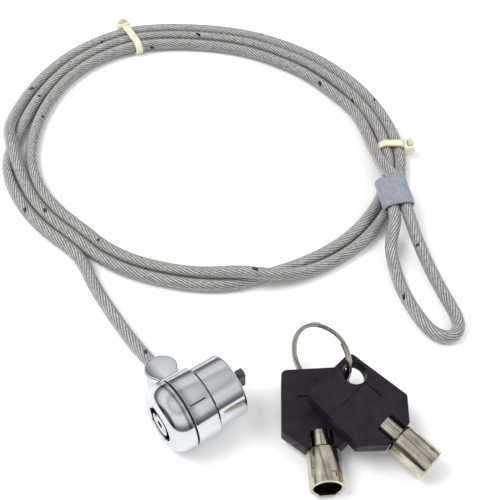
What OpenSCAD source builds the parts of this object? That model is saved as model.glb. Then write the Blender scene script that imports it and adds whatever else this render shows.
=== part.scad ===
// Laptop cable lock: swivelling tubular-key lock head on a coiled wire rope with an eye,
// and two tubular keys on a split ring.
// X runs along the lock's spindle and points out of the nose. Y is level, Z is up.
// The origin is on the spindle axis, on the face that seats against the locked device.

/* [Lock head] */
// Diameter of the swivel collar, the widest part of the head
collar_d = 20.5; // [19.5:0.1:26]
// Length of the swivel collar along the spindle
collar_w = 7.2; // [6.6:0.1:10]
// Diameter of the rear housing
rear_d = 18.6; // [18:0.1:19]
// Length of the rear housing
rear_len = 9; // [8:0.1:14]
// Length of the domed front cap
dome_len = 6; // [5.5:0.1:9]
// Flat rim left around the keyway
face_rim = 1.6; // [1:0.1:2.2]
// Outside diameter of the sleeve the collar turns on
sleeve_d = 15; // [14.4:0.1:15.6]
// Wall of the sleeve
sleeve_wall = 1.4; // [1:0.1:1.6]
// Thickness of each collar washer
washer_t = 0.4; // [0.3:0.05:0.8]
// Running clearance on radius
run_fit = 0.05; // [0.03:0.01:0.08]

/* [Core] */
// Depth of the annular keyway
keyway_depth = 6; // [4.5:0.1:7]
// Clearance on radius between key barrel and keyway
key_fit = 0.3; // [0.15:0.05:0.4]
// Length of the core behind the keyway
core_len = 5; // [4.5:0.1:6]
// Length of the pin block
block_len = 4.6; // [4:0.1:5]
// Number of pin stacks
pin_count = 7; // [5:1:8]
// Diameter of the pins
pin_d = 1.2; // [0.9:0.05:1.3]
// Travel of the key pins
pin_travel = 1.2; // [0.8:0.1:1.4]
// Diameter of the spindle
spindle_d = 4; // [3.4:0.1:4.6]

/* [Nose] */
// Length of the T-bar across the slot
t_len = 6.6; // [6:0.1:6.8]
// Width of the T-bar
t_w = 2.7; // [2.2:0.1:2.8]
// Thickness of the T-bar
t_thick = 2; // [1.6:0.1:2.4]
// Gap under the T-bar for the wall of the device
t_gap = 2.2; // [2.1:0.1:2.6]
// Diameter of the two anti-rotation pins
nose_pin_d = 1.5; // [1.2:0.1:1.6]
// Distance of each anti-rotation pin from the axis
nose_pin_r = 2.7; // [2.5:0.1:2.8]

/* [Cable] */
// Diameter of the jacketed wire rope
cable_d = 4; // [3.5:0.1:4.4]
// Distance of the arm's rounded head from the spindle axis
arm_reach = 15.1; // [14.5:0.1:18]
// Radius of the arm's rounded head
arm_r = 4.8; // [4:0.1:5.5]
// Thickness of the arm
arm_t = 7; // [6.4:0.1:8]
// Angle of the arm below level
arm_drop = 12; // [0:1:20]
// Width of the crimp ferrule
ferrule_w = 10.4; // [9.8:0.1:12]
// Height of the crimp ferrule
ferrule_h = 6; // [5.4:0.1:7]
// Length of the crimp ferrule
ferrule_len = 11; // [9:0.5:14]
// Width of a cable tie
tie_w = 2.6; // [2:0.1:4]
// Thickness of a cable tie
tie_t = 1.1; // [0.8:0.1:1.4]

/* [Keys] */
// Outside diameter of a key barrel
key_d = 9.5; // [9:0.1:9.6]
// Wall of a key barrel
key_wall = 1; // [0.8:0.05:1.15]
// Length of a key barrel from shoulder to mouth
barrel_len = 11.4; // [10:0.1:16]
// Length of a key bow
bow_len = 25.2; // [24:0.1:30]
// Half width of a key bow at its far end
bow_half_w = 9.2; // [9:0.1:12]
// Extra half width of a key bow at its shoulders
bow_flare = 1.6; // [0.5:0.1:3]
// Thickness of a key bow
bow_t = 4; // [3.4:0.1:4.2]
// Diameter of the hole for the key ring
key_hole_d = 7; // [6.8:0.1:7.4]
// Outside diameter of the split ring
ring_d = 20.6; // [20.2:0.1:21]
// Section of the split ring, across and along its axis
ring_t = 1.2; // [1:0.1:1.3]

/* [Hidden] */
$fn = 96;

// Positions along the spindle, counted back from the seating face
collar_back = -rear_len - washer_t;
collar_front = collar_back - collar_w;
dome_back = collar_front - washer_t;
face_x = dome_back - dome_len;
floor_z = -collar_d / 2;

// Bores and diameters that fit each other
sleeve_id = sleeve_d - 2 * sleeve_wall;
keyway_d = key_d + 2 * key_fit;
post_d = key_d - 2 * key_wall - 2 * key_fit;
pin_r = (keyway_d + post_d) / 4;
pin_hole_d = pin_d + 2 * run_fit;
core_d = sleeve_id - 2 * run_fit;
cap_lip = 1.3;
lug_w = 1.4;
core_front = face_x + keyway_depth;
core_back = core_front + core_len;
shear_gap = 0.05;
block_front = core_back + shear_gap;
sleeve_front = face_x + cap_lip;
sleeve_back = -2.2;
plate_t = 0.8;
block_back = core_back + block_len;
spring_wire = 0.28;
spring_turns = 7;
driver_len = block_len - spring_turns * spring_wire;
rear_plate_d = 12.4;
neck_d = 2.4;
clip_t = 0.8;
pin_nose = 0.3;
stop_pin_d = 1.2;
stop_depth = 0.6;
core_turn = 90;

// Coil of rope: a four-arc oval lying on its ties
lift = tie_t;
ring_section = [2 * cable_d + 0.4, cable_d + 0.2];
third_section = [cable_d, cable_d + 0.2];
coil_at = [49, 91];
coil_turn = 105;
end_r = 48;
half_long = 66.5;
half_short = 60;
end_shift = half_long - end_r;
side_shift = (pow(end_shift, 2) - pow(half_short - end_r, 2)) / (2 * (half_short - end_r));
side_r = half_short + side_shift;
end_half = atan2(side_shift, end_shift);
side_half = 90 - end_half;

// Route of the tail from the arm to the coil, heights above the surface
tail_route = [[-12.7, 38, 2.9], [-12.4, 45, 2.3], [-12, 52, 2.1], [-11.4, 60, 2.1],
    [-10.6, 68, 2.4], [-9.4, 76, 3.1]];
// Route from the inside of the coil up and over it into the ferrule
lead_route = [[102.6, 91, 3.2], [100.6, 84, 3.2], [98.9, 77, 3.2], [97, 70, 3.2],
    [94.8, 63, 3.5], [92.7, 57, 4.6], [91.7, 50, 7.4], [91.2, 43.6, 8.4]];
// Route of the eye from the live leg round the tip to the dead leg
eye_route = [[80.9, 15, 4.6], [78.9, 8.5, 3], [76.9, 2, 2.2], [74.8, -5, 2.1],
    [72.6, -12, 2.1], [70.6, -16.6, 2.1], [67.3, -19.1, 2.1], [63.8, -17.6, 2.1],
    [62.6, -13, 2.1], [63.3, -5, 2.1], [65.4, 3, 2.1], [68.6, 10.5, 2.8],
    [72.4, 17.3, 4.4]];
ferrule_at = [84.6, 31, 8.4];
ferrule_turn = -112;
ferrule_dip = 8;
leg_gap = cable_d + 0.4;

// Key placing on the surface
key_1_at = [23.6, -7.2];
key_1_turn = -120.8;
key_2_at = [23.2, -13.8];
key_2_turn = -76.6;
key_2_tilt = 10.9;
key_2_h = 11.7;
key_hole_at = [5.1, 5.2];
notch_len = 5.2;
notch_gap = 0.3;
neck_len = 5.4;
key_neck_d = 5.6;
tang = [13, 4.6, 2.4];
ring_at = [26.22, -7.06];
ring_low = 0.94;
ring_tilt = 67.2;
ring_heading = 10.9;

// Shared helpers

// Cylinder along X from a to b
module rod(d, a, b) {
    translate([a, 0, 0]) rotate([0, 90, 0]) cylinder(d = d, h = b - a);
}

// Ring along X from a to b
module tube(d_out, d_in, a, b) {
    difference() {
        rod(d_out, a, b);
        rod(d_in, a - 1, b + 1);
    }
}

// Turned solid: profile points are [position along X, radius]
module turned(points) {
    rotate([0, 90, 0]) rotate_extrude() polygon([for (p = points) [p[1], p[0]]]);
}

// Copies on the pin circle
module on_pin_circle() {
    for (i = [0 : pin_count - 1]) rotate([i * 360 / pin_count + 12, 0, 0])
        translate([0, 0, pin_r]) children();
}

// Rounded rectangle standing on Y = 0, centred on X
function round_box(w, h, r) = [for (c = [[w / 2 - r, h - r, 0], [r - w / 2, h - r, 90],
    [r - w / 2, r, 180], [w / 2 - r, r, 270]], s = [0 : 15 : 90])
    [c[0] + r * cos(c[2] + s), c[1] + r * sin(c[2] + s)]];

// Sweep of a section along a list of points; section points are [to the right, up]
function unit(v) = v / norm(v);
function side_at(t) = unit(cross(t, [0, 0, 1]));
function round_section(d, sides) = [for (s = [0 : sides - 1])
    d / 2 * [cos(360 * s / sides), sin(360 * s / sides)]];
module sweep(path, section, closed = false) {
    m = len(path);
    n = len(section);
    rings = [for (i = [0 : m - 1])
        let (ahead = closed ? path[(i + 1) % m] : path[min(i + 1, m - 1)],
            behind = closed ? path[(i + m - 1) % m] : path[max(i - 1, 0)],
            t = unit(ahead - behind), u = side_at(t), v = cross(u, t))
        for (q = section) path[i] + q[0] * u + q[1] * v];
    walls = [for (i = [0 : m - (closed ? 1 : 2)], s = [0 : n - 1])
        let (a = i * n + s, b = i * n + (s + 1) % n, up = ((i + 1) % m - i) * n)
        [a, a + up, b + up, b]];
    ends = closed ? [] : [[for (s = [0 : n - 1]) s],
        [for (s = [n - 1 : -1 : 0]) (m - 1) * n + s]];
    polyhedron(points = rings, faces = concat(walls, ends), convexity = 6);
}

// Point at height h above the surface
function above(p) = [p[0], p[1], p[2] + floor_z];

// Swivel collar and the cable end in it

arm_x = (collar_back + collar_front) / 2;
stop_d = cable_d + 1.4;
stop_len = 4;
stop_from = sleeve_d / 2 + run_fit + 0.3;
arm_end = arm_reach + arm_r;
exit_len = 12;

// Point on the cable line of the arm at distance y from the axis
function arm_point(y) = [arm_x, y * cos(arm_drop), -y * sin(arm_drop)];

module swivel_collar() {
    edge = 0.5;
    color("gainsboro") difference() {
        union() {
            turned([[collar_front, 0], [collar_front, collar_d / 2 - edge],
                [collar_front + edge, collar_d / 2], [collar_back - edge, collar_d / 2],
                [collar_back, collar_d / 2 - edge], [collar_back, 0]]);
            rotate([-arm_drop, 0, 0]) {
                translate([arm_x, arm_reach, -arm_t / 2]) cylinder(r = arm_r, h = arm_t);
                translate([arm_x - collar_w / 2 + edge, 0, -arm_t / 2])
                    cube([collar_w - 2 * edge, arm_reach, arm_t]);
            }
        }
        rod(sleeve_d + 2 * run_fit, collar_front - 1, collar_back + 1);
        rotate([-arm_drop, 0, 0]) translate([arm_x, 0, 0]) rotate([-90, 0, 0]) {
            cylinder(d = cable_d + 0.1, h = arm_end + 2);
            cylinder(d = stop_d, h = stop_from + stop_len + 0.1);
        }
        rotate([28, 0, 0]) translate([collar_front + 0.6, -0.2, collar_d / 2 - 0.35])
            cube([collar_w * 0.68, 0.4, 1]);
    }
}

module cable_stop() {
    color("darkgray") rotate([-arm_drop, 0, 0]) translate([arm_x, stop_from, 0])
        rotate([-90, 0, 0]) difference() {
            cylinder(d = stop_d, h = stop_len);
            translate([0, 0, 0.8]) cylinder(d = cable_d + 0.1, h = stop_len);
        }
}

module cable_tail() {
    route = concat([for (y = [stop_from + 0.8, arm_end, arm_end + exit_len / 2,
        arm_end + exit_len]) arm_point(y)], [for (p = tail_route) above(p)]);
    color("silver") sweep(route, round_section(cable_d, 8));
}

// Coil, its end run, the eye and the ferrule

// Points along an arc about [x, y], from one angle up to but not onto another
function arc_points(x, y, r, from, to, steps) = [for (i = [0 : steps - 1])
    let (a = from + (to - from) * i / steps) [x + r * cos(a), y + r * sin(a), 0]];

// Flat section with cut corners, standing on the level of its path
function flat_section(w, h, cut) = [[w / 2, cut], [w / 2, h - cut], [w / 2 - cut, h],
    [cut - w / 2, h], [-w / 2, h - cut], [-w / 2, cut], [cut - w / 2, 0], [w / 2 - cut, 0]];

strand_gap = 0.15;
third_in = -(ring_section[0] + third_section[0]) / 2 - strand_gap;
third_ends = [-102, 98];

module cable_coil() {
    inner_r = end_r + third_in;
    inner_side_r = side_r + third_in;
    outer_turns = concat(
        arc_points(end_shift, 0, end_r, -end_half, end_half, 10),
        arc_points(0, -side_shift, side_r, 90 - side_half, 90 + side_half, 28),
        arc_points(-end_shift, 0, end_r, 180 - end_half, 180 + end_half, 10),
        arc_points(0, side_shift, side_r, 270 - side_half, 270 + side_half, 28));
    inner_run = concat(
        arc_points(0, side_shift, inner_side_r, third_ends[0], -end_half, 16),
        arc_points(end_shift, 0, inner_r, -end_half, end_half, 10),
        arc_points(0, -side_shift, inner_side_r, 90 - side_half, third_ends[1], 7));
    color("silver") translate([coil_at[0], coil_at[1], floor_z + lift])
        rotate([0, 0, coil_turn]) {
            sweep(outer_turns, flat_section(ring_section[0], ring_section[1], 1.2), true);
            sweep(inner_run, flat_section(third_section[0], third_section[1], 1.2));
        }
}

// Places children in the ferrule's frame: X along the legs towards the eye
module at_ferrule() {
    translate(above(ferrule_at)) rotate([0, 0, ferrule_turn])
        rotate([0, ferrule_dip, 0]) children();
}

// Point in the ferrule's frame
function ferrule_point(x, y) = above(ferrule_at) + [
    (x * cos(ferrule_dip)) * cos(ferrule_turn) - y * sin(ferrule_turn),
    (x * cos(ferrule_dip)) * sin(ferrule_turn) + y * cos(ferrule_turn),
    -x * sin(ferrule_dip)];

module cable_eye() {
    live = leg_gap / 2;
    route = concat([for (p = lead_route) above(p)],
        [for (x = [-ferrule_len / 2, ferrule_len / 2, ferrule_len / 2 + 4])
            ferrule_point(x, live)],
        [for (p = eye_route) above(p)],
        [for (x = [ferrule_len / 2 + 3, ferrule_len / 2, 1.5 - ferrule_len / 2])
            ferrule_point(x, -live)]);
    color("silver") sweep(route, round_section(cable_d, 8));
}

module eye_ferrule() {
    color("slategray") at_ferrule() difference() {
        translate([-ferrule_len / 2, 0, 0]) rotate([90, 0, 90])
            linear_extrude(ferrule_len) translate([0, -ferrule_h / 2])
                polygon(round_box(ferrule_w, ferrule_h, ferrule_h / 2 - 0.4));
        for (s = [-1, 1]) translate([-ferrule_len, s * leg_gap / 2, 0])
            rotate([0, 90, 0]) cylinder(d = cable_d + 0.1, h = 2 * ferrule_len);
    }
}

// Cable tie round a bundle of width w, in a frame with X across the bundle
module tie(w, head_side) {
    gap = 0.05;
    inside = [w + 2 * gap, cable_d + 0.2 + 2 * gap];
    outside = [inside[0] + 2 * tie_t, inside[1] + 2 * tie_t - gap];
    head = [3.2, 3.8, 4.6];
    rotate([90, 0, 0]) translate([0, 0, -tie_w / 2]) linear_extrude(tie_w) difference() {
        polygon(round_box(outside[0], outside[1], 1.6 + tie_t));
        translate([0, tie_t - gap]) polygon(round_box(inside[0], inside[1], 1.6));
    }
    translate([head_side * (outside[0] / 2 + head[0] / 2 - 0.6), 0, head[2] / 2 + 0.2])
        cube(head, center = true);
    translate([head_side * (outside[0] / 2 + head[0] / 2 - 0.6) - 0.4, -tie_w / 2,
        head[2] - 0.2]) cube([0.9, tie_w, 3]);
}

module tie_top() {
    color("cornsilk") translate([coil_at[0], coil_at[1], floor_z])
        rotate([0, 0, coil_turn]) translate([0, side_shift, 0]) rotate([0, 0, -30.5])
            translate([side_r - (third_section[0] + strand_gap) / 2, 0, 0])
                tie(ring_section[0] + third_section[0] + strand_gap, 1);
}

module tie_side() {
    color("cornsilk") translate([coil_at[0], coil_at[1], floor_z])
        rotate([0, 0, coil_turn]) translate([0, side_shift, 0])
            rotate([0, 0, -137]) translate([side_r, 0, 0])
                tie(ring_section[0], 1);
}

// Fixed parts of the lock head

// Quarter-ellipse dome from the collar out to the face
dome_points = [for (a = [0 : 7.5 : 90])
    [dome_back - dome_len * sin(a),
    keyway_d / 2 + face_rim + (collar_d / 2 - keyway_d / 2 - face_rim) * cos(a)]];

module front_cap() {
    color("gainsboro") difference() {
        turned(concat([[dome_back, 0]], dome_points, [[face_x, 0]]));
        rod(keyway_d, face_x - 1, dome_back + 1);
        rod(sleeve_d, sleeve_front, dome_back + 1);
        rotate([-24, 0, 0]) translate([face_x - 1, -lug_w / 2 - 0.2, keyway_d / 2 - 0.4])
            cube([cap_lip + 1.2, lug_w + 0.4, 1.3]);
    }
}

module rear_housing() {
    edge = 0.9;
    color("gainsboro") difference() {
        turned([[-rear_len, 0], [-rear_len, rear_d / 2], [-edge, rear_d / 2],
            [-edge * 0.3, rear_d / 2 - edge * 0.3], [0, rear_d / 2 - edge], [0, 0]]);
        rod(sleeve_d, -rear_len - 1, sleeve_back);
        rod(rear_plate_d, sleeve_back - 1, 1);
    }
}

module lock_sleeve() {
    color("darkgray") difference() {
        tube(sleeve_d, sleeve_id, sleeve_front, sleeve_back);
        translate([core_front + core_len / 2, 0, 0])
            cylinder(d = stop_pin_d, h = sleeve_d);
    }
}

module collar_washers() {
    color("dimgray") {
        tube(collar_d - 1.2, sleeve_d, dome_back, collar_front);
        tube(rear_d - 0.4, sleeve_d, collar_back, -rear_len);
    }
}

module pin_block() {
    color("goldenrod") difference() {
        rod(sleeve_id, block_front, block_back);
        rod(spindle_d + 2 * run_fit, core_back - 1, block_back + 1);
        on_pin_circle() rod(pin_hole_d, core_back - 1, block_back + 1);
    }
}

module driver_pins() {
    color("goldenrod") on_pin_circle() rod(pin_d, block_front, core_back + driver_len);
}

module pin_springs() {
    from = core_back + driver_len;
    outer = pin_d / 2;
    inner = outer - spring_wire;
    dip = spring_wire * 0.3;
    color("silver") on_pin_circle() turned(concat(
        [for (i = [0 : 2 * spring_turns])
            [from + i * spring_wire / 2, outer - (i % 2 == 0 ? dip : 0)]],
        [for (i = [2 * spring_turns : -1 : 0])
            [from + i * spring_wire / 2, inner + (i % 2 == 0 ? dip : 0)]]));
}

module spring_plate() {
    color("dimgray") tube(sleeve_id, spindle_d + 2 * run_fit, block_back,
        block_back + plate_t);
}

module core_stop_pin() {
    color("dimgray") translate([core_front + core_len / 2, 0, core_d / 2 - stop_depth])
        cylinder(d = stop_pin_d, h = sleeve_d / 2 - core_d / 2 + stop_depth - 0.05);
}

module rear_plate() {
    color("silver") difference() {
        rod(rear_plate_d, sleeve_back, 0);
        rod(neck_d + 2 * run_fit, -3, 1);
        for (s = [-1, 1]) translate([0, 0, s * nose_pin_r]) rod(nose_pin_d, -3, 1);
    }
}

module nose_pins() {
    color("silver") for (s = [-1, 1]) translate([0, 0, s * nose_pin_r])
        rod(nose_pin_d, sleeve_back, t_gap - 0.3);
}

// Turning parts of the lock head

module lock_core() {
    groove_in = core_d / 2 - stop_depth - 0.1;
    groove_half = asin((stop_pin_d / 2 + 0.15) / groove_in);
    color("silver") difference() {
        rod(core_d, core_front, core_back);
        on_pin_circle() rod(pin_hole_d, core_front - 1, core_back + 1);
        rod(spindle_d, core_back - 3, core_back + 1);
        translate([core_front + core_len / 2, 0, 0]) rotate([0, 90, 0])
            rotate([0, 0, 180 - core_turn - groove_half])
                rotate_extrude(angle = core_turn + 2 * groove_half)
                    translate([groove_in, -stop_pin_d / 2 - 0.1])
                        square([2, stop_pin_d + 0.2]);
    }
}

module core_post() {
    color("silver") difference() {
        rod(post_d, face_x + 0.2, core_front);
        rod(2.2, face_x - 1, face_x + 2);
        rotate([-40, 0, 0]) translate([face_x - 1, -0.6, post_d / 2 - 1.1])
            cube([3, 1.2, 2]);
    }
}

clip_front = block_back + plate_t;

module t_bar_spindle() {
    color("silver") difference() {
        union() {
            rod(spindle_d, core_back - 3, sleeve_back - 0.3);
            rod(neck_d, sleeve_back - 1, t_gap + 0.5);
            translate([t_gap, 0, 0]) rotate([90, 0, 90]) linear_extrude(t_thick)
                translate([0, -t_len / 2]) polygon(round_box(t_w, t_len, t_w / 2 - 0.2));
        }
        tube(spindle_d + 2, spindle_d - 0.8, clip_front + 0.05, clip_front + clip_t + 0.15);
    }
}

module spindle_clip() {
    color("dimgray") difference() {
        tube(spindle_d + 2.2, spindle_d - 0.8, clip_front + 0.1,
            clip_front + 0.1 + clip_t - 0.05);
        translate([clip_front - 1, -0.9, 0]) cube([4, 1.8, spindle_d]);
    }
}

module key_pins() {
    color("goldenrod") on_pin_circle()
        rod(pin_d, core_front - pin_nose, core_back - pin_travel - 0.05);
}

// Keys and their ring

// Corner of an outline rounded with radius r
function round_corner(a, b, c, r) =
    let (u = unit(a - b), v = unit(c - b), half = acos(u * v) / 2,
        centre = b + unit(u + v) * r / sin(half), p = b + u * r / tan(half) - centre,
        way = cross([u[0], u[1], 0], [v[0], v[1], 0])[2] > 0 ? 1 : -1,
        sweep_a = -way * (180 - 2 * half))
    [for (i = [0 : 6]) let (t = -sweep_a * i / 6)
        centre + [p[0] * cos(t) + p[1] * sin(t), -p[0] * sin(t) + p[1] * cos(t)]];

// Outline with every corner rounded; each point is [x, y, radius]
function rounded(pts) = [for (i = [0 : len(pts) - 1])
    let (n = len(pts), a = pts[(i + n - 1) % n], b = pts[i], c = pts[(i + 1) % n])
    each round_corner([a[0], a[1]], [b[0], b[1]], [c[0], c[1]], b[2])];

shoulder_x = bow_len - 5.6;
notch_x = bow_len - notch_len;
notch_w = key_neck_d / 2 + notch_gap;
foot_w = notch_w + 1.6;
shoulder_w = bow_half_w + bow_flare;
bow_points = [[0, -bow_half_w, 1.8], [shoulder_x, -shoulder_w, 0.9],
    [bow_len, -foot_w, 0.6], [bow_len, -notch_w, 0.3], [notch_x, -notch_w, 0.3],
    [notch_x, notch_w, 0.3], [bow_len, notch_w, 0.3], [bow_len, foot_w, 0.6],
    [shoulder_x, shoulder_w, 0.9], [0, bow_half_w, 1.8]];

// Bow of a key: X runs from its far end to the barrel, Z through its thickness
module bow() {
    line_w = 0.5;
    color("dimgray") difference() {
        translate([0, 0, -bow_t / 2]) linear_extrude(bow_t) polygon(rounded(bow_points));
        translate([key_hole_at[0], key_hole_at[1], -bow_t])
            cylinder(d = key_hole_d, h = 2 * bow_t);
        translate([notch_x - tang[0] - 0.1, -tang[1] / 2 - 0.05, -tang[2] / 2 - 0.05])
            cube([tang[0] + 1, tang[1] + 0.1, tang[2] + 0.1]);
        for (s = [-1, 1]) translate([0, 0, s * (bow_t / 2 - 0.3) - (s < 0 ? 0.5 : 0)]) {
            translate([8.8, -5.4, 0]) cube([line_w, 10.8, 0.5]);
            translate([8.8, 4.9, 0]) cube([6, line_w, 0.5]);
        }
    }
}

// Barrel of a key, in the same frame as its bow
module barrel() {
    shoulder = notch_x + neck_len;
    mouth = shoulder + barrel_len;
    r = key_d / 2;
    color("lightgray") difference() {
        union() {
            turned([[notch_x + 0.05, 0], [notch_x + 0.05, key_neck_d / 2],
                [shoulder, key_neck_d / 2], [shoulder, r - 0.7], [shoulder + 0.7, r],
                [mouth - 0.3, r], [mouth, r - 0.3], [mouth, 0]]);
            translate([notch_x - tang[0], -tang[1] / 2, -tang[2] / 2])
                cube([tang[0] + 1, tang[1], tang[2]]);
        }
        rod(key_d - 2 * key_wall, mouth - barrel_len + 2, mouth + 1);
        rotate([-24, 0, 0]) translate([mouth - 3.2, -0.7, r - 0.5]) cube([1.7, 1.4, 1]);
        translate([notch_x + 0.9, -0.25, key_neck_d / 2 - 0.4]) cube([neck_len - 1.6, 0.5, 1]);
    }
}

module at_key_1() {
    translate(above([key_1_at[0], key_1_at[1], key_d / 2]))
        rotate([0, 0, key_1_turn]) children();
}

module at_key_2() {
    translate(above([key_2_at[0], key_2_at[1], key_2_h])) rotate([0, 0, key_2_turn])
        rotate([0, key_2_tilt, 0]) children();
}

module key_1_bow() { at_key_1() bow(); }
module key_1_barrel() { at_key_1() barrel(); }
module key_2_bow() { at_key_2() bow(); }
module key_2_barrel() { at_key_2() barrel(); }

module split_ring() {
    mean_r = ring_d / 2 - ring_t / 2;
    turn_t = ring_t / 2;
    color("silver") translate(above([ring_at[0], ring_at[1],
        ring_low + mean_r * sin(ring_tilt)])) rotate([0, 0, ring_heading])
        rotate([0, -ring_tilt, 0]) {
            for (s = [-1, 0]) rotate_extrude()
                translate([mean_r - ring_t / 2, s * (turn_t + 0.02) + 0.01])
                    square([ring_t, turn_t - 0.01]);
            rotate([0, 0, 60]) translate([mean_r - ring_t / 2 + 0.1, 0, -ring_t / 4])
                cube([ring_t - 0.2, 1.6, ring_t / 2]);
        }
}

swivel_collar();
cable_stop();
cable_tail();
cable_coil();
cable_eye();
eye_ferrule();
tie_top();
tie_side();
front_cap();
rear_housing();
lock_sleeve();
collar_washers();
pin_block();
driver_pins();
pin_springs();
spring_plate();
core_stop_pin();
rear_plate();
nose_pins();
lock_core();
core_post();
t_bar_spindle();
spindle_clip();
key_pins();
split_ring();
key_1_bow();
key_1_barrel();
key_2_bow();
key_2_barrel();
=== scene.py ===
"""Looks of the laptop cable lock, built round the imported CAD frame.

Lengths in this file are millimetres in the frame's axes unless a name ends in _M. Heights are
above the surface that everything lies on. mesh_object() turns them into metres.
"""

import math
import random

import bpy
import bmesh
import numpy as np
from mathutils import Matrix, Vector


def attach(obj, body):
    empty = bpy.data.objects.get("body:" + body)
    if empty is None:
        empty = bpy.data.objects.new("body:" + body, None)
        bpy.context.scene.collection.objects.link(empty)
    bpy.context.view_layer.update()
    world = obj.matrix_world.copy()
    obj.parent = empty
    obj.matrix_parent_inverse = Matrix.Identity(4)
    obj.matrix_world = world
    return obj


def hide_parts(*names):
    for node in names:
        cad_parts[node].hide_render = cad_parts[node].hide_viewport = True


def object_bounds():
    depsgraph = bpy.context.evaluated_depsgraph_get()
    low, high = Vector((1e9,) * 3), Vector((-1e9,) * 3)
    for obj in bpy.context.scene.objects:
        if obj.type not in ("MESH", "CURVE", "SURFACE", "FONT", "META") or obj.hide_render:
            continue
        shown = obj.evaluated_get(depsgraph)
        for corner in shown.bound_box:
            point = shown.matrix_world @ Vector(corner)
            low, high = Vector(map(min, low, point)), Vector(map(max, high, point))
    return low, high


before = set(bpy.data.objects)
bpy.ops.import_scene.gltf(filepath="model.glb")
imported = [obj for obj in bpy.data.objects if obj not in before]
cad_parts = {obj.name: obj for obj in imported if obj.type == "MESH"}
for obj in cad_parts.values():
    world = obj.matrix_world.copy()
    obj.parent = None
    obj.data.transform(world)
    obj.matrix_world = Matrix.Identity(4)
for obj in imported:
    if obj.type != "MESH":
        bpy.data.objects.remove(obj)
CAD_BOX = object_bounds()

MM = 0.001
FLOOR = CAD_BOX[0][2] / MM
UP = np.array([0.0, 0.0, 1.0])

# ---------------------------------------------------------------- sizes shared with the CAD part

COLLAR_D, COLLAR_FRONT, COLLAR_BACK = 20.5, -16.5, -9.6
SLEEVE_R = 7.5
FACE_X, DOME_BACK = -23.0, -17.0
KEYWAY_R, FACE_RIM = 5.05, 1.6
REAR_D, REAR_LEN, REAR_EDGE, REAR_PLATE_R = 18.6, 9.0, 0.9, 6.2
ARM_X, ARM_REACH, ARM_R, ARM_T, ARM_DROP = -13.0, 15.1, 4.8, 7.0, 12.0
ARM_END = ARM_REACH + ARM_R

CABLE_D = 4.0
ROPE_D = 3.5
STRANDS = 12
ROPE_PITCH = 26.0
FERRULE_AT = np.array([84.6, 31.0, 8.4])
FERRULE_TURN, FERRULE_DIP = -112.0, 8.0
FERRULE_W, FERRULE_H, FERRULE_LEN = 10.4, 6.0, 11.0
BORE_HALF_W, BORE_HALF_H, BORE_POWER = 4.62, 2.42, 2.6
LEG_GAP = 4.4
TIE_W, TIE_T = 2.6, 1.0

KEY_D, KEY_WALL = 9.5, 1.0
BOW_LEN, BOW_T, BOW_HALF_W, BOW_FLARE = 25.2, 4.0, 9.2, 1.6
NOTCH_X, NECK_LEN, NECK_R, BARREL_LEN = 20.0, 5.4, 2.8, 11.4
HOLE_AT, HOLE_R = (5.1, 5.2), 3.5
RING_R, RING_T = 9.7, 1.2


def turn_x(deg):
    return Matrix.Rotation(math.radians(deg), 4, "X")


def turn_y(deg):
    return Matrix.Rotation(math.radians(deg), 4, "Y")


def turn_z(deg):
    return Matrix.Rotation(math.radians(deg), 4, "Z")


def move(x, y, z):
    return Matrix.Translation((x, y, z))


KEY_1 = move(23.6, -7.2, FLOOR + KEY_D / 2) @ turn_z(-120.8)
KEY_2 = move(23.2, -13.8, FLOOR + 11.7) @ turn_z(-76.6) @ turn_y(10.9)
RING_TILT = 67.2
RING = (
    move(26.22, -7.06, FLOOR + 0.94 + RING_R * math.sin(math.radians(RING_TILT)))
    @ turn_z(10.9)
    @ turn_y(-RING_TILT)
)
FERRULE = (
    move(FERRULE_AT[0], FERRULE_AT[1], FLOOR + FERRULE_AT[2])
    @ turn_z(FERRULE_TURN)
    @ turn_y(FERRULE_DIP)
)

# ---------------------------------------------------------------- camera

CAMERA_AT_M = (-0.0894, -0.1378, 0.2533)
CAMERA_LOOKS_AT_M = (0.03585, 0.04441, FLOOR * MM)
CAMERA_FOV = 26.0

lens = bpy.data.cameras.new("camera")
lens.sensor_fit = "VERTICAL"
lens.angle = math.radians(CAMERA_FOV)
lens.clip_start = 0.01
camera = bpy.data.objects.new("camera", lens)
camera.location = CAMERA_AT_M
aim = Vector(CAMERA_LOOKS_AT_M) - Vector(CAMERA_AT_M)
camera.rotation_euler = aim.to_track_quat("-Z", "Y").to_euler()
bpy.context.scene.collection.objects.link(camera)
bpy.context.scene.camera = camera

bpy.context.scene.view_settings.view_transform = "Standard"

# ---------------------------------------------------------------- mesh helpers


def shade(obj, angle=35):
    """Smooth shading, with edges sharper than angle kept crisp."""
    mesh = obj.data
    mesh.polygons.foreach_set("use_smooth", [True] * len(mesh.polygons))
    mesh.set_sharp_from_angle(angle=math.radians(angle))
    return obj


def mesh_object(name, verts, faces, place=None, angle=35):
    """An object from vertices in millimetres, placed by a matrix in millimetres."""
    pts = np.asarray(verts, float).reshape(-1, 3)
    if place is not None:
        m = np.array(place)
        pts = pts @ m[:3, :3].T + m[:3, 3]
    mesh = bpy.data.meshes.new(name)
    mesh.from_pydata((pts * MM).tolist(), [], faces)
    mesh.validate()
    mesh.update()
    obj = bpy.data.objects.new(name, mesh)
    bpy.context.scene.collection.objects.link(obj)
    return shade(obj, angle)


def apply_modifiers(obj):
    deps = bpy.context.evaluated_depsgraph_get()
    mesh = bpy.data.meshes.new_from_object(obj.evaluated_get(deps))
    old = obj.data
    obj.modifiers.clear()
    obj.data = mesh
    mesh.name = obj.name
    bpy.data.meshes.remove(old)
    return obj


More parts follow.
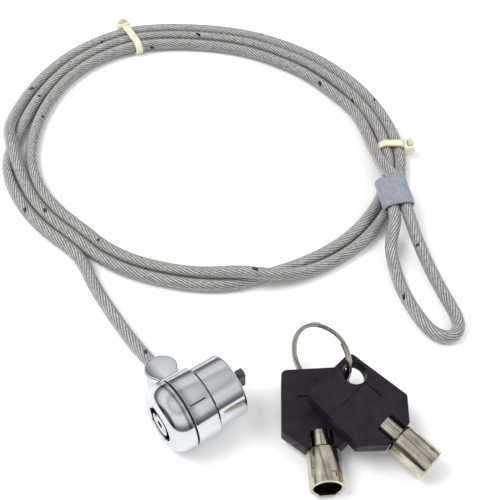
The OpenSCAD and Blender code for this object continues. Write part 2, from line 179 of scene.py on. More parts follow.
def bevel(obj, width, segments=3, angle=32):
    """Rounds the edges sharper than angle."""
    mod = obj.modifiers.new("bevel", "BEVEL")
    mod.width = width * MM
    mod.segments = segments
    mod.limit_method = "ANGLE"
    mod.angle_limit = math.radians(angle)
    mod.use_clamp_overlap = True
    mod.miter_outer = "MITER_ARC"
    apply_modifiers(obj)
    return shade(obj, 50)


def cut(obj, *cutters):
    """Takes the cutters out of obj, and removes them."""
    for tool in cutters:
        mod = obj.modifiers.new("cut", "BOOLEAN")
        mod.object = tool
        mod.solver = "EXACT"
        mod.operation = "DIFFERENCE"
        apply_modifiers(obj)
        bpy.data.objects.remove(tool)
    return shade(obj, 35)


def join(name, *objs):
    """One object from several, each kept as its own shell."""
    bm = bmesh.new()
    for o in objs:
        bm.from_mesh(o.data)
    mesh = bpy.data.meshes.new(name)
    bm.to_mesh(mesh)
    bm.free()
    for o in objs:
        bpy.data.objects.remove(o)
    obj = bpy.data.objects.new(name, mesh)
    bpy.context.scene.collection.objects.link(obj)
    return shade(obj, 50)


def grid_faces(rows, cols, close_rows=False, close_cols=True):
    """Quads of a grid of points stored row by row."""
    faces = []
    for i in range(rows if close_rows else rows - 1):
        for j in range(cols if close_cols else cols - 1):
            a, b = i * cols + j, i * cols + (j + 1) % cols
            up = ((i + 1) % rows - i) * cols
            faces.append((a, b, b + up, a + up))
    return faces


def lathe(name, profile, place=None, steps=160, angle=35):
    """Turns a closed profile of (x, radius) points about the X axis."""
    verts = []
    for i in range(steps):
        a = 2 * math.pi * i / steps
        verts += [(x, r * math.sin(a), r * math.cos(a)) for x, r in profile]
    obj = mesh_object(name, verts, grid_faces(steps, len(profile), True), place, angle)
    bm = bmesh.new()
    bm.from_mesh(obj.data)
    bmesh.ops.remove_doubles(bm, verts=bm.verts, dist=1e-7)
    bmesh.ops.recalc_face_normals(bm, faces=bm.faces)
    bm.to_mesh(obj.data)
    bm.free()
    return shade(obj, angle)


def slab(name, outline, low, high, place=None):
    """An outline of (x, y) points raised from height low to high."""
    n = len(outline)
    verts = [(x, y, low) for x, y in outline] + [(x, y, high) for x, y in outline]
    faces = [tuple(range(n))[::-1], tuple(range(n, 2 * n))]
    faces += [(i, (i + 1) % n, n + (i + 1) % n, n + i) for i in range(n)]
    return mesh_object(name, verts, faces, place)


def block(name, low, high, place=None):
    (x0, y0, z0), (x1, y1, z1) = low, high
    return slab(name, [(x0, y0), (x1, y0), (x1, y1), (x0, y1)], z0, z1, place)


def circle(x, y, r, steps=48, start=0.0, stop=360.0):
    """Points round a circle, or an arc with both its ends."""
    whole = abs(stop - start) >= 360
    n = steps if whole else steps + 1
    angles = [math.radians(start + (stop - start) * i / steps) for i in range(n)]
    return [(x + r * math.cos(a), y + r * math.sin(a)) for a in angles]


def rod(name, r, start, stop, place=None, steps=48):
    """A closed cylinder along Z."""
    return slab(name, circle(0, 0, r, steps), start, stop, place)


def rounded(points, steps=6):
    """A closed outline whose corners (x, y, radius) are rounded."""
    out = []
    n = len(points)
    for i, (x, y, r) in enumerate(points):
        b = np.array([x, y])
        u = np.array(points[i - 1][:2]) - b
        v = np.array(points[(i + 1) % n][:2]) - b
        u, v = u / np.linalg.norm(u), v / np.linalg.norm(v)
        half = math.acos(np.clip(u @ v, -1, 1)) / 2
        if r <= 0 or half > math.pi / 2 - 0.01:
            out.append((x, y))
            continue
        centre = b + (u + v) / np.linalg.norm(u + v) * r / math.sin(half)
        first, last = b + u * r / math.tan(half), b + v * r / math.tan(half)
        a0 = math.atan2(*(first - centre)[::-1])
        a1 = math.atan2(*(last - centre)[::-1])
        sweep = (a1 - a0 + math.pi) % (2 * math.pi) - math.pi
        out += [
            tuple(centre + r * np.array([math.cos(a), math.sin(a)]))
            for a in (a0 + sweep * k / steps for k in range(steps + 1))
        ]
    return out


def unit(v):
    return v / np.linalg.norm(v, axis=-1, keepdims=True)


def smooth_line(points, step):
    """A smooth line through given points, with a point every step."""
    p = np.asarray(points, float)
    t = np.concatenate([[0], np.cumsum(np.sqrt(np.linalg.norm(np.diff(p, axis=0), axis=1)))])
    ends = np.vstack([2 * p[0] - p[1], p, 2 * p[-1] - p[-2]])
    te = np.concatenate([[2 * t[0] - t[1]], t, [2 * t[-1] - t[-2]]])
    fine = []
    for i in range(1, len(p)):
        a, b, c, d = ends[i - 1 : i + 3]
        ta, tb, tc, td = te[i - 1 : i + 3]
        for x in np.linspace(tb, tc, 24, endpoint=False):
            ab = (tb - x) / (tb - ta) * a + (x - ta) / (tb - ta) * b
            bc = (tc - x) / (tc - tb) * b + (x - tb) / (tc - tb) * c
            cd = (td - x) / (td - tc) * c + (x - tc) / (td - tc) * d
            abc = (tc - x) / (tc - ta) * ab + (x - ta) / (tc - ta) * bc
            bcd = (td - x) / (td - tb) * bc + (x - tb) / (td - tb) * cd
            fine.append((tc - x) / (tc - tb) * abc + (x - tb) / (tc - tb) * bcd)
    fine.append(p[-1])
    return resample(np.array(fine), step)


def arc_length(line):
    return np.concatenate([[0], np.cumsum(np.linalg.norm(np.diff(line, axis=0), axis=1))])


def resample(line, step):
    s = arc_length(line)
    even = np.linspace(0, s[-1], max(2, int(round(s[-1] / step)) + 1))
    return np.stack([np.interp(even, s, line[:, k]) for k in range(3)], axis=1)


def carried_frames(line):
    """Tangents and two cross directions that turn as little as possible along a line."""
    t = unit(np.gradient(line, axis=0))
    u = np.empty_like(line)
    u[0] = unit(np.cross(t[0], UP))
    for i in range(1, len(line)):
        u[i] = unit(u[i - 1] - (u[i - 1] @ t[i]) * t[i])
    return t, u, np.cross(t, u)


def sweep(name, line, section, twist=None, caps=True, angle=60, closed=False):
    """Carries a closed section of (side, up) points along a line. twist turns it at each point."""
    if closed:
        t = unit(np.roll(line, -1, axis=0) - np.roll(line, 1, axis=0))
        u = unit(np.cross(t, UP))
        v = np.cross(u, t)
    else:
        t, u, v = carried_frames(line)
    sec = np.asarray(section, float)
    turn = np.zeros(len(line)) if twist is None else twist
    c, s = np.cos(turn)[:, None, None], np.sin(turn)[:, None, None]
    x = sec[None, :, 0, None] * c - sec[None, :, 1, None] * s
    y = sec[None, :, 0, None] * s + sec[None, :, 1, None] * c
    verts = line[:, None, :] + x * u[:, None, :] + y * v[:, None, :]
    n, m = len(line), len(sec)
    faces = grid_faces(n, m, closed)
    if caps and not closed:
        faces += [tuple(range(m))[::-1], tuple(range((n - 1) * m, n * m))]
    obj = mesh_object(name, verts, faces, angle=angle)
    bm = bmesh.new()
    bm.from_mesh(obj.data)
    bmesh.ops.recalc_face_normals(bm, faces=bm.faces)
    bm.to_mesh(obj.data)
    bm.free()
    return shade(obj, angle)


# ---------------------------------------------------------------- materials


class Look:
    """A principled material with procedural detail in object coordinates."""

    def __init__(self, name, colour, metallic=0.0, roughness=0.4, **sockets):
        self.mat = bpy.data.materials.new(name)
        self.mat.use_nodes = True
        self.nodes = self.mat.node_tree.nodes
        self.links = self.mat.node_tree.links
        self.bsdf = self.nodes["Principled BSDF"]
        self.bsdf.inputs["Base Color"].default_value = (*colour, 1)
        self.bsdf.inputs["Metallic"].default_value = metallic
        self.bsdf.inputs["Roughness"].default_value = roughness
        for key, value in sockets.items():
            self.bsdf.inputs[key.replace("_", " ")].default_value = value
        self.coord = self.nodes.new("ShaderNodeTexCoord")
        self.normal = None

    def node(self, kind, **values):
        node = self.nodes.new(kind)
        for key, value in values.items():
            setattr(node, key, value)
        return node

    def noise(self, scale, detail=3.0, stretch=(1, 1, 1)):
        """Noise whose scale is in cells a millimetre."""
        mapping = self.node("ShaderNodeMapping")
        mapping.inputs["Scale"].default_value = tuple(s * scale * 1000 for s in stretch)
        self.links.new(self.coord.outputs["Object"], mapping.inputs["Vector"])
        noise = self.node("ShaderNodeTexNoise")
        noise.inputs["Scale"].default_value = 1.0
        noise.inputs["Detail"].default_value = detail
        self.links.new(mapping.outputs["Vector"], noise.inputs["Vector"])
        return noise.outputs["Fac"]

    def ramp(self, value, stops):
        """Maps a value through stops of (position, colour or number)."""
        ramp = self.node("ShaderNodeValToRGB")
        ramp.color_ramp.interpolation = "LINEAR"
        elements = ramp.color_ramp.elements
        while len(elements) < len(stops):
            elements.new(0.5)
        for element, (at, colour) in zip(elements, stops):
            element.position = at
            rgb = (colour,) * 3 if isinstance(colour, (int, float)) else colour
            element.color = (*rgb, 1)
        self.links.new(value, ramp.inputs["Fac"])
        return ramp.outputs["Color"]

    def tint(self, value, stops):
        self.links.new(self.ramp(value, stops), self.bsdf.inputs["Base Color"])
        return self

    def gloss(self, value, low, high):
        """Roughness between low and high, driven by a value."""
        out = self.ramp(value, [(0.3, low), (0.7, high)])
        self.links.new(out, self.bsdf.inputs["Roughness"])
        return self

    def bump(self, value, height, strength=1.0):
        """Adds a bump of this height in millimetres."""
        node = self.node("ShaderNodeBump")
        node.inputs["Strength"].default_value = strength
        node.inputs["Distance"].default_value = height * MM
        self.links.new(value, node.inputs["Height"])
        if self.normal is not None:
            self.links.new(self.normal, node.inputs["Normal"])
        self.normal = node.outputs["Normal"]
        self.links.new(self.normal, self.bsdf.inputs["Normal"])
        return self


def chrome_look():
    look = Look("polished_chrome", (0.62, 0.65, 0.69), 1.0, 0.05)
    haze = look.noise(0.35, 4)
    look.gloss(haze, 0.03, 0.1)
    look.tint(look.noise(0.06, 2), [(0.3, (0.63, 0.655, 0.685)), (0.7, (0.71, 0.73, 0.755))])
    look.bump(look.noise(0.12, 1), 0.02, 0.35)
    return look.bump(look.noise(6.0, 2, (1, 0.15, 1)), 0.0012, 0.5)


def steel_look(name, colour, low, high):
    look = Look(name, colour, 1.0, low)
    look.gloss(look.noise(1.2, 4), low, high)
    dark = tuple(c * 0.78 for c in colour)
    look.tint(look.noise(0.5, 3), [(0.3, dark), (0.65, colour)])
    return look.bump(look.noise(9.0, 3, (0.12, 1, 1)), 0.004, 0.6)


CHROME = chrome_look()
CORE_STEEL = steel_look("bright_steel", (0.7, 0.7, 0.71), 0.14, 0.3)
DARK_STEEL = steel_look("oiled_steel_and_bore_shade", (0.16, 0.16, 0.17), 0.28, 0.5)
SHADOW_STEEL = steel_look("shaded_steel", (0.05, 0.05, 0.055), 0.35, 0.6)
BRASS = steel_look("turned_brass", (0.72, 0.54, 0.24), 0.18, 0.36)
RING_STEEL = steel_look("ring_steel", (0.5, 0.47, 0.42), 0.1, 0.24)


def nickel_look():
    look = Look("satin_nickel", (0.6, 0.57, 0.48), 1.0, 0.12)
    look.gloss(look.noise(0.8, 4), 0.09, 0.2)
    look.tint(look.noise(0.22, 4), [(0.25, (0.34, 0.31, 0.245)), (0.6, (0.62, 0.58, 0.48))])
    return look.bump(look.noise(5.0, 3), 0.003, 0.5)


NICKEL = nickel_look()


def key_plastic_look():
    look = Look("key_plastic", (0.02, 0.017, 0.02), 0.0, 0.42, Specular_IOR_Level=0.25)
    look.gloss(look.noise(0.5, 3), 0.36, 0.55)
    look.tint(look.noise(0.3, 4), [(0.3, (0.009, 0.0065, 0.01)), (0.75, (0.018, 0.014, 0.02))])
    look.bump(look.noise(7.0, 2), 0.02, 0.5)
    return look.bump(look.noise(0.5, 2), 0.02, 0.3)


KEY_PLASTIC = key_plastic_look()

# Near-black washer plastic, made this dark so the gaps on either side of the collar read as painted shade
WASHER_AND_GAP_SHADE = Look("washer_plastic", (0.012, 0.012, 0.014), 0.0, 0.5)
WASHER_AND_GAP_SHADE.tint(WASHER_AND_GAP_SHADE.noise(0.8, 3), [(0.3, (0.008, 0.008, 0.009)), (0.7, (0.03, 0.03, 0.032))])
WASHER_AND_GAP_SHADE.bump(WASHER_AND_GAP_SHADE.noise(4.0, 2), 0.01, 0.5)


def nylon_look():
    look = Look(
        "tie_nylon",
        (0.86, 0.84, 0.74),
        0.0,
        0.35,
        Subsurface_Weight=0.35,
        Subsurface_Scale=0.0012,
        Coat_Weight=0.15,
    )
    look.bsdf.inputs["Subsurface Radius"].default_value = (1.0, 0.85, 0.55)
    look.tint(look.noise(0.4, 3), [(0.3, (0.66, 0.62, 0.43)), (0.7, (0.76, 0.73, 0.58))])
    look.gloss(look.noise(1.5, 2), 0.28, 0.45)
    return look.bump(look.noise(2.5, 3), 0.012, 0.4)


NYLON = nylon_look()


def crimp_look():
    look = Look("crimp_alloy", (0.3, 0.32, 0.37), 0.35, 0.42)
    look.tint(look.noise(0.7, 4), [(0.3, (0.26, 0.28, 0.32)), (0.7, (0.34, 0.36, 0.41))])
    look.gloss(look.noise(1.8, 3), 0.36, 0.55)
    look.bump(look.noise(0.6, 2), 0.05, 0.5)
    return look.bump(look.noise(5.0, 3), 0.02, 0.6)


CRIMP = crimp_look()


# Painted shade and highlight across one strand: darkest in the valley between two strands, brightest at
# the crest
STRAND_PAINTED_SHADE = [(0.0, 0.1), (0.1, 0.26), (0.28, 0.8), (0.5, 1.0)]


def rope_look():
    """Bright galvanised wire: fine wires run along the rope, strand by strand, with painted shade in the
    valleys between strands and between wires.
    """
    look = Look("rope_wire", (0.6, 0.61, 0.62), 0.15, 0.42)
    uv = look.node("ShaderNodeUVMap", uv_map="rope")
    split = look.node("ShaderNodeSeparateXYZ")
    look.links.new(uv.outputs["UV"], split.inputs["Vector"])
    wire = look.node("ShaderNodeMath", operation="MULTIPLY")
    wire.inputs[1].default_value = 2 * math.pi * 48
    look.links.new(split.outputs["Y"], wire.inputs[0])
    crest = look.node("ShaderNodeMath", operation="SINE")
    look.links.new(wire.outputs[0], crest.inputs[0])
    half = look.node("ShaderNodeMapRange")
    half.inputs["From Min"].default_value = -1
    look.links.new(crest.outputs[0], half.inputs["Value"])
    look.bump(half.outputs["Result"], 0.09, 0.8)
    strand = look.node("ShaderNodeMath", operation="MULTIPLY")
    strand.inputs[1].default_value = STRANDS
    look.links.new(split.outputs["Y"], strand.inputs[0])
    part = look.node("ShaderNodeMath", operation="PINGPONG")
    part.inputs[1].default_value = 0.5
    look.links.new(strand.outputs[0], part.inputs[0])
    # Painted shade: the strand's colour darkens into the valleys between strands
    shape = look.ramp(part.outputs[0], STRAND_PAINTED_SHADE)
    # Painted shade: the colour also darkens in the grooves between the fine wires
    wires = look.ramp(half.outputs["Result"], [(0.0, 0.75), (0.6, 1.0)])
    patch = look.ramp(look.noise(0.9, 4), [(0.32, 0.62), (0.6, 1.0)])
    colour = shape
    for factor in (wires, patch):
        mix = look.node("ShaderNodeMix", data_type="RGBA", blend_type="MULTIPLY")
        mix.inputs[0].default_value = 1.0
        look.links.new(colour, mix.inputs[6])
        look.links.new(factor, mix.inputs[7])
        colour = mix.outputs[2]
    look.links.new(colour, look.bsdf.inputs["Base Color"])
    look.gloss(look.noise(2.0, 2), 0.26, 0.42)
    return look


ROPE = rope_look()
FLECK = Look("rope_fleck", (0.002, 0.002, 0.002), 0.0, 0.5, Specular_IOR_Level=0.1)
FLECK.tint(FLECK.noise(3.0, 2), [(0.3, (0.001, 0.001, 0.001)), (0.8, (0.01, 0.01, 0.01))])


def jacket_look():
    """Thin clear vinyl: see-through and a little milky, whiter towards the rim as a painted sheen, with a
    sharp gloss that grows at the rim.
    """
    look = Look("clear_jacket", (0.9, 0.9, 0.89), 0.0, 0.12)
    out = look.nodes["Material Output"]
    clear = look.node("ShaderNodeBsdfTransparent")
    clear.inputs["Color"].default_value = (0.94, 0.935, 0.92, 1)
    shine = look.node("ShaderNodeBsdfGlossy")
    shine.inputs["Roughness"].default_value = 0.22
    # Face-on this is the vinyl's own slight milkiness; towards the rim the white diffuse is a painted
    # sheen standing in for the jacket's highlights
    milk_and_rim_sheen = look.node("ShaderNodeMixShader")
    facing = look.node("ShaderNodeLayerWeight")
    edge = look.ramp(facing.outputs["Facing"], [(0.0, 0.02), (0.5, 0.06), (0.95, 0.6)])
    look.links.new(edge, milk_and_rim_sheen.inputs["Fac"])
    look.links.new(clear.outputs[0], milk_and_rim_sheen.inputs[1])
    look.links.new(look.bsdf.outputs[0], milk_and_rim_sheen.inputs[2])
    rim = look.node("ShaderNodeFresnel")
    rim.inputs["IOR"].default_value = 1.3
    mix = look.node("ShaderNodeMixShader")
    look.links.new(rim.outputs[0], mix.inputs["Fac"])
    look.links.new(milk_and_rim_sheen.outputs[0], mix.inputs[1])
    look.links.new(shine.outputs[0], mix.inputs[2])
    look.links.new(mix.outputs[0], out.inputs["Surface"])
    look.bump(look.noise(0.5, 2), 0.05, 0.4)
    look.links.new(look.normal, shine.inputs["Normal"])
    look.links.new(look.normal, rim.inputs["Normal"])
    return look


JACKET = jacket_look()


def dress(obj, look, body, slot, *replaced):
    """Gives a piece its material and body, and hides the CAD nodes it stands for; slot is not used."""
    obj.data.materials.clear()
    obj.data.materials.append(look.mat)
    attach(obj, body)
    if replaced:
        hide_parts(*replaced)
    return obj


def paint(node, look):
    """A CAD node keeps its shape and takes a material."""
    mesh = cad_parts[node].data
    mesh.materials.clear()
    mesh.materials.append(look.mat)


# ---------------------------------------------------------------- the cable's line

TAIL_ROUTE = [
    (-12.7, 38, 2.9), (-12.4, 45, 2.3), (-12, 52, 2.1), (-11.2, 59, 2.1), (-10.1, 66, 2.1),
    (-9.7, 72, 2.1),
]
LEAD_ROUTE = [
    (102.6, 74, 2.2), (100.9, 67, 2.6), (98.2, 60, 3.6), (95.3, 53.4, 5.6), (92.8, 47.5, 7.6),
    (90.6, 42.0, 8.6),
]
EYE_ROUTE = [
    (80.9, 15, 4.6), (78.9, 8.5, 3), (76.9, 2, 2.2), (74.8, -5, 2.1), (72.6, -12, 2.1),
    (70.6, -16.6, 2.1), (67.3, -19.1, 2.1), (63.8, -17.6, 2.1), (62.6, -13, 2.1),
    (63.3, -5, 2.1), (65.4, 3, 2.1), (68.6, 10.5, 2.8), (72.4, 17.3, 4.4),
]
COIL_AT = np.array([50.6, 85.3])
# Outer edge of the bundle of turns: (angle about COIL_AT, radius)
COIL_EDGE = [
    (-45, 65.5), (-20, 63.2), (0, 62.3), (30, 63), (60, 67), (90, 74.3), (105, 75.8), (120, 74.5),
    (150, 70.6), (175, 66.3), (198, 60.4), (225, 59.2), (255, 62), (285, 64.6), (315, 65.5),
]
COIL_START, COIL_END = 186, -718
LANE = CABLE_D + 0.12
TIES = [(84.0, 3), (-34.0, 2)]


def arm_point(y):
    a = math.radians(ARM_DROP)
    return np.array([ARM_X, y * math.cos(a), -y * math.sin(a) - FLOOR])


def ferrule_point(x, y):
    p = FERRULE @ Vector((x, y, 0))
    return np.array([p.x, p.y, p.z - FLOOR])


def ease(x, start, stop):
    """0 before start, 1 after stop, and smooth between them; start may be above stop."""
    t = np.clip((x - start) / (stop - start), 0, 1)
    return t * t * (3 - 2 * t)


def edge_radius(angle):
    a, r = np.array(COIL_EDGE).T
    return np.interp((angle + 45) % 360 - 45, a, r)


def coil_lane(phi):
    """Which lane of the bundle, counted from its outer edge, the cable is in at unwound angle phi."""
    lane = ease(phi, 150, 112)
    lane = lane - ease(phi, -75, -150)
    lane = lane + ease(phi, -160, -178)
    lane = lane - ease(phi, -172, -228)
    lane = lane + ease(phi, -435, -510)
    lane = lane + ease(phi, -520, -538)
    return lane - 0.45 * np.exp(-(((phi + 560) / 24) ** 2))


def coil_line():
    phi = np.arange(COIL_START, COIL_END - 1, -2.0)
    radius = np.array([edge_radius(a) for a in phi]) - CABLE_D / 2 - LANE * coil_lane(phi)
    kernel = np.hanning(15)
    padded = np.pad(radius, 7, mode="edge")
    radius = np.convolve(padded, kernel / kernel.sum(), "valid")
    # The last stretch stands a little inside the bundle
    radius -= 0.8 * ease(phi, -590, -700)
    rad = np.radians(phi)
    height = np.full_like(phi, CABLE_D / 2)
    # Where two turns change lanes, one of them goes over
    for over, half in ((-208, 26), (-472, 22)):
        height += 4.0 * np.exp(-(((phi - over) / half) ** 2))
    return np.stack(
        [COIL_AT[0] + radius * np.cos(rad), COIL_AT[1] + radius * np.sin(rad), height], axis=1
    )


def tie_place(angle):
    r = edge_radius(angle) - 5
    a = math.radians(angle)
    return COIL_AT + r * np.array([math.cos(a), math.sin(a)])


def settle(line, fixed, rounds=260):
    """Lets the cable's own turns push one another apart and rest on the surface and the ties."""
    home = line.copy()
    p = line.copy()
    n = len(p)
    s = arc_length(p)
    i, j = np.triu_indices(n, 1)
    far = s[j] - s[i] > 14
    close = np.linalg.norm(home[i] - home[j], axis=1) < 14
    i, j = i[far & close], j[far & close]
    ground = np.full(n, CABLE_D / 2 + 0.03)
    for angle, _ in TIES:
        gap = np.linalg.norm(home[:, :2] - tie_place(angle), axis=1)
        ground += (TIE_T + 0.1) * np.exp(-((gap / 13) ** 2))
    for step in range(rounds):
        pull = 0.02 if step < rounds * 0.7 else 0.0
        p[:, :2] += pull * (home[:, :2] - p[:, :2])
        p[:, 2] -= 0.05 if step < rounds * 0.7 else 0.0
        shift = p - home
        shift[:, 2] = p[:, 2]
        bend = np.zeros_like(p)
        bend[1:-1] = (shift[:-2] + shift[2:]) / 2 - shift[1:-1]
        p += 0.4 * bend
        for _ in range(3):
            d = p[j] - p[i]
            gap = np.linalg.norm(d, axis=1)
            push = np.clip(CABLE_D + 0.1 - gap, 0, None)[:, None] * d / gap[:, None] * 0.45
            moved = np.zeros_like(p)
            np.add.at(moved, i, -push)
            np.add.at(moved, j, push)
            hits = np.zeros(n)
            np.add.at(hits, i, push.any(axis=1))
            np.add.at(hits, j, push.any(axis=1))
            p += moved / np.clip(hits, 1, None)[:, None]
        p[:, 2] = np.maximum(p[:, 2], ground)
        p[fixed] = home[fixed]
    return p


def cable_line():
    """The whole cable's centreline from inside the arm to inside the ferrule."""
    live, dead = LEG_GAP / 2, -LEG_GAP / 2
    points = [arm_point(y) for y in (11.5, ARM_END, ARM_END + 6, ARM_END + 12)]
    points += TAIL_ROUTE
    points += list(coil_line()[::6])
    points += LEAD_ROUTE
    points += [ferrule_point(x, live) for x in (-FERRULE_LEN / 2, 0, FERRULE_LEN / 2, FERRULE_LEN / 2 + 4)]
    points += EYE_ROUTE
    points += [ferrule_point(x, dead) for x in (FERRULE_LEN / 2 + 3, FERRULE_LEN / 2, 0, -3)]
    line = smooth_line([np.array(p, float) for p in points], 2.0)
    for amount in [0.5, -0.53] * 40:
        line[1:-1] += amount * ((line[:-2] + line[2:]) / 2 - line[1:-1])
    s = arc_length(line)
    from_arm = s < 32
    near = np.linalg.norm(line - FERRULE_AT, axis=1) < FERRULE_LEN / 2 + 5
    first = s[np.nonzero(near & (s > s[-1] - 160))[0][0]]
    return settle(line, from_arm | (s > first))


CABLE = cable_line()
CABLE[:, 2] += FLOOR
CABLE_FINE = smooth_line(CABLE, 0.9)

# ---------------------------------------------------------------- rope, jacket and flecks


def strand_section(steps=5):
    """Outline of round wires laid side by side round a core."""
    wide = math.sin(math.pi / STRANDS)
    strand_r = ROPE_D / 2 * wide / (1 + wide)
    centre_r = ROPE_D / 2 - strand_r
    out = []
    for k in range(STRANDS):
        for q in range(steps):
            off = ((q + 0.5) / steps - 0.5) * 360 / STRANDS
            d = math.radians(off)
            reach = strand_r**2 - (centre_r * math.sin(d)) ** 2
            r = centre_r * math.cos(d) + math.sqrt(max(reach, 0.0))
            a = math.radians(360 * k / STRANDS + off)
            out.append((r * math.cos(a), r * math.sin(a)))
    return out


def make_rope():
    section = strand_section()
    s = arc_length(CABLE_FINE)
    twist = 2 * math.pi * s / ROPE_PITCH
    rope = sweep("wire_rope", CABLE_FINE, section, twist)
    n, m = len(CABLE_FINE), len(section)
    mesh = rope.data
    layer = mesh.uv_layers.new(name="rope")
    loops = np.zeros(len(mesh.loops), np.int32)
    mesh.loops.foreach_get("vertex_index", loops)
    ring, around = loops // m, loops % m
    across = (around + 0.5) / m
    starts = np.zeros(len(mesh.polygons), np.int32)
    totals = np.zeros(len(mesh.polygons), np.int32)
    mesh.polygons.foreach_get("loop_start", starts)
    mesh.polygons.foreach_get("loop_total", totals)
    owner = np.repeat(np.arange(len(starts)), totals)
    first = across[starts][owner]
    across = first + (across - first + 0.5) % 1.0 - 0.5
    uv = np.stack([s[ring] / 100, across], axis=1)
    layer.data.foreach_set("uv", uv.astype(np.float32).ravel())
    # Dark flecks: short lengths of one strand, on the side that faces up
    mesh.materials.append(ROPE.mat)
    mesh.materials.append(FLECK.mat)
    _, u, v = carried_frames(CABLE_FINE)
    rng = random.Random(11)
    dark = np.zeros(len(mesh.polygons), np.int32)
    at = 12.0
    per_strand = m // STRANDS
    while at < s[-1] - 10:
        k = int(np.searchsorted(s, at))
        lean = math.radians(rng.uniform(-75, 75))
        side = unit(np.cross(UP, np.gradient(CABLE_FINE, axis=0)[k]))
        want = math.cos(lean) * UP + math.sin(lean) * side
        facing = math.atan2(want @ v[k], want @ u[k]) - twist[k]
        strand = int(round(facing / (2 * math.pi) * STRANDS)) % STRANDS
        span = rng.choice((1, 2, 2))
        for ring_k in range(k, min(k + span, n - 1)):
            for q in range(int(1.4 * per_strand)):
                dark[ring_k * m + (strand * per_strand + q) % m] = 1
        at += rng.uniform(34, 80)
    mesh.polygons.foreach_set("material_index", dark)
    return rope


def make_jacket():
    line = smooth_line(CABLE, 1.6)
    ring = circle(0, 0, CABLE_D / 2, 24)
    return sweep("cable_jacket", line, ring)


rope = make_rope()
jacket = make_jacket()
dress(jacket, JACKET, "cable_assembly", "jacketed_rope", "cable_tail", "cable_coil", "cable_eye")
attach(rope, "cable_assembly")

# ---------------------------------------------------------------- cable ties


def hull(points):
    """Convex outline of 2D points, anticlockwise."""
    pts = sorted(map(tuple, points))

    def half(seq):
        out = []
        for q in seq:
            while len(out) > 1 and np.cross(np.subtract(out[-1], out[-2]), np.subtract(q, out[-1])) <= 0:
                out.pop()
            out.append(q)
        return out[:-1]

    return half(pts) + half(pts[::-1])


def make_tie(name, angle, count, head_out, tail_len):
    """A nylon tie round the turns that pass one place of the coil."""
    at = tie_place(angle)
    out = unit(at - COIL_AT)
    along = np.array([-out[1], out[0]])
    rel = CABLE[:, :2] - at
    side = rel @ along
    hits = []
    for k in np.nonzero(side[:-1] * side[1:] < 0)[0]:
        f = side[k] / (side[k] - side[k + 1])
        q = CABLE[k] + f * (CABLE[k + 1] - CABLE[k])
        across = (q[:2] - at) @ out
        if abs(across) < 14:
            hits.append((across, q[2] - FLOOR))
    hits = sorted(hits, reverse=True)[:count]
    grow = CABLE_D / 2 + TIE_T / 2 + 0.03
    ring = hull([p for x, z in hits for p in circle(x, z, grow, 40)])
    loop = np.array([(*(at + x * out), z + FLOOR) for x, z in ring])
    s = arc_length(np.vstack([loop, loop[:1]]))
    even = np.linspace(0, s[-1], 97)[:-1]
    closed = np.vstack([loop, loop[:1]])
    loop = np.stack([np.interp(even, s, closed[:, k]) for k in range(3)], axis=1)
    half_w, half_t, r = TIE_W / 2, TIE_T / 2, 0.28
    strap_section = rounded(
        [(half_w, half_t, r), (-half_w, half_t, r), (-half_w, -half_t, r), (half_w, -half_t, r)], 3
    )
    t = unit(np.roll(loop, -1, axis=0) - np.roll(loop, 1, axis=0))
    u = np.array([*along, 0.0])
    v = np.cross(t, u)
    verts = [loop[i] + x * u + y * v[i] for i in range(len(loop)) for x, y in strap_section]
    strap = mesh_object(name + "_strap", verts, grid_faces(len(loop), len(strap_section), True))
    # The head sits on the outer or inner side, with the strap's end through it
    edge_x = hits[0][0] + grow if head_out else hits[-1][0] - grow
    sign = 1 if head_out else -1
    zc = hits[0][1] if head_out else hits[-1][1]
    place = Matrix.Identity(4)
    place.col[0][:3] = (*(out * sign), 0)
    place.col[1][:3] = (*(along * sign), 0)
    place.col[2][:3] = (0, 0, 1)
    centre = at + (edge_x + sign * 1.1) * out
    place.translation = Vector((*centre, FLOOR + max(zc + 0.7, 2.9)))
    head = block(name + "_head", (-1.7, -2.3, -1.9), (1.7, 2.3, 1.9), place)
    bevel(head, 0.5, 3)
    pocket = block(name + "_pocket", (-0.75, -1.5, 0.6), (0.75, 1.5, 3), place)
    cut(head, pocket)
    tail_pts = []
    steps = 26
    for i in range(steps + 1):
        z = -0.5 + (tail_len + 0.5) * i / steps
        tail_pts.append((0.02 * z * z, z))
    verts = []
    for i, (x, z) in enumerate(tail_pts):
        tooth = 0.12 if i % 2 else 0.0
        for y, e in ((-1.25, -0.42 + tooth), (1.25, -0.42 + tooth), (1.25, 0.42), (-1.25, 0.42)):
            taper = 1 - 0.35 * ease(z, tail_len - 2.0, tail_len)
            verts.append((x + e, y * taper, z))
    faces = grid_faces(len(tail_pts), 4)
    n = len(verts)
    faces += [(3, 2, 1, 0), (n - 4, n - 3, n - 2, n - 1)]
    tail = mesh_object(name + "_tail", verts, faces, place)
    return join(name, strap, head, tail)


tie_1 = make_tie("tie_top_nylon", TIES[0][0], TIES[0][1], True, 3.4)
dress(tie_1, NYLON, "cable_assembly", "tie_nylon", "tie_top")
tie_2 = make_tie("tie_side_nylon", TIES[1][0], TIES[1][1], True, 4.2)
dress(tie_2, NYLON, "cable_assembly", "tie_nylon", "tie_side")

# ---------------------------------------------------------------- crimped ferrule


